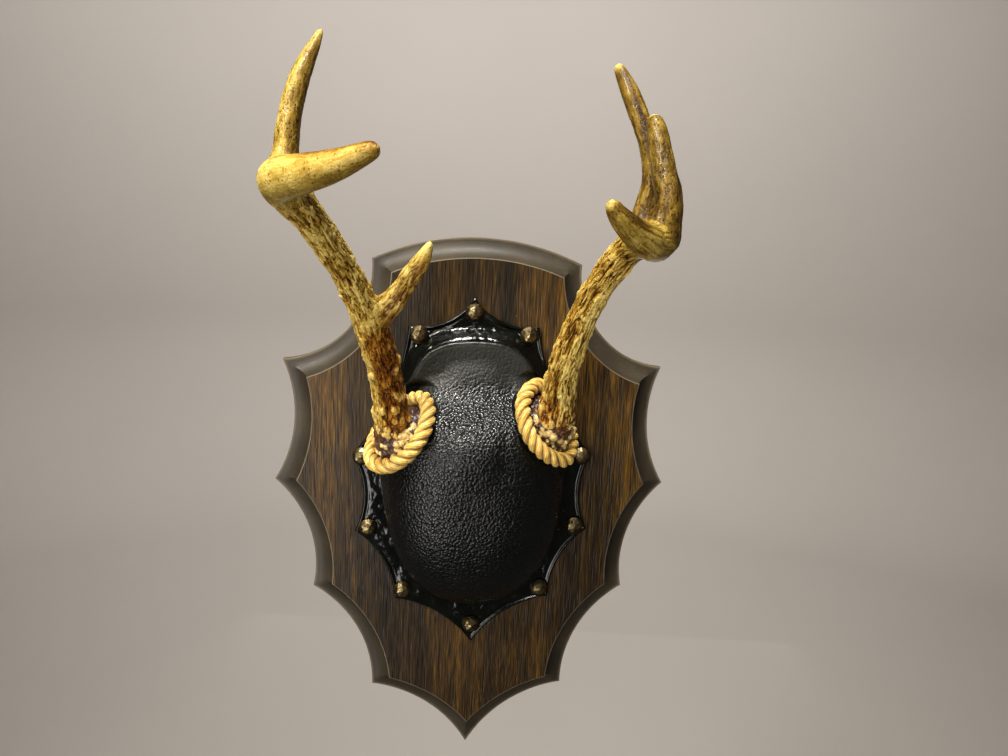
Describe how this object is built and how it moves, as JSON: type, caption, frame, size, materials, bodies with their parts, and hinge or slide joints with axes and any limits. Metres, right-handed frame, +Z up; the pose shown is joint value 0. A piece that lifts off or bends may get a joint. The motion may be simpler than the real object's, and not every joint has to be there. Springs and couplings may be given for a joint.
{
  "type": "deer antler plaque mount",
  "caption": "Deer antlers on a scalloped walnut wall plaque, with a black moulded skull cover, hammered brass nails and rope rings.",
  "frame": {"origin": "on the plaque's flat back, on its centre line, 150 mm above its bottom point", "axes": "+Y out of the plaque's back into the wall, -Y to the front, +Z up, +X to the viewer's right"},
  "size_m": [0.223, 0.1844, 0.3735],
  "materials": {
    "walnut": "satin",
    "cover": "pebbled",
    "nail_brass": "hammered, aged",
    "rope": "twisted",
    "antler": "grooved, satin",
    "burr": "rough"
  },
  "bodies": {
    "root": {"plaque_board": "walnut", "skull_cover": "cover", "nail_01": "nail_brass", "nail_02": "nail_brass", "nail_03": "nail_brass", "nail_04": "nail_brass", "nail_05": "nail_brass", "nail_06": "nail_brass", "nail_07": "nail_brass", "nail_08": "nail_brass", "nail_09": "nail_brass", "nail_10": "nail_brass", "rope_ring_left": "rope", "rope_ring_right": "rope", "antler_left_burr": "burr", "antler_right_burr": "burr", "antler_left_beam_low": "antler", "antler_left_beam_mid": "antler", "antler_left_beam_end": "antler", "antler_left_brow_tine": "antler", "antler_left_rear_tine": "antler", "antler_right_beam_low": "antler", "antler_right_beam_mid": "antler", "antler_right_beam_end": "antler", "antler_right_front_tine": "antler", "antler_right_rear_tine": "antler"}
  },
  "joints": []
}
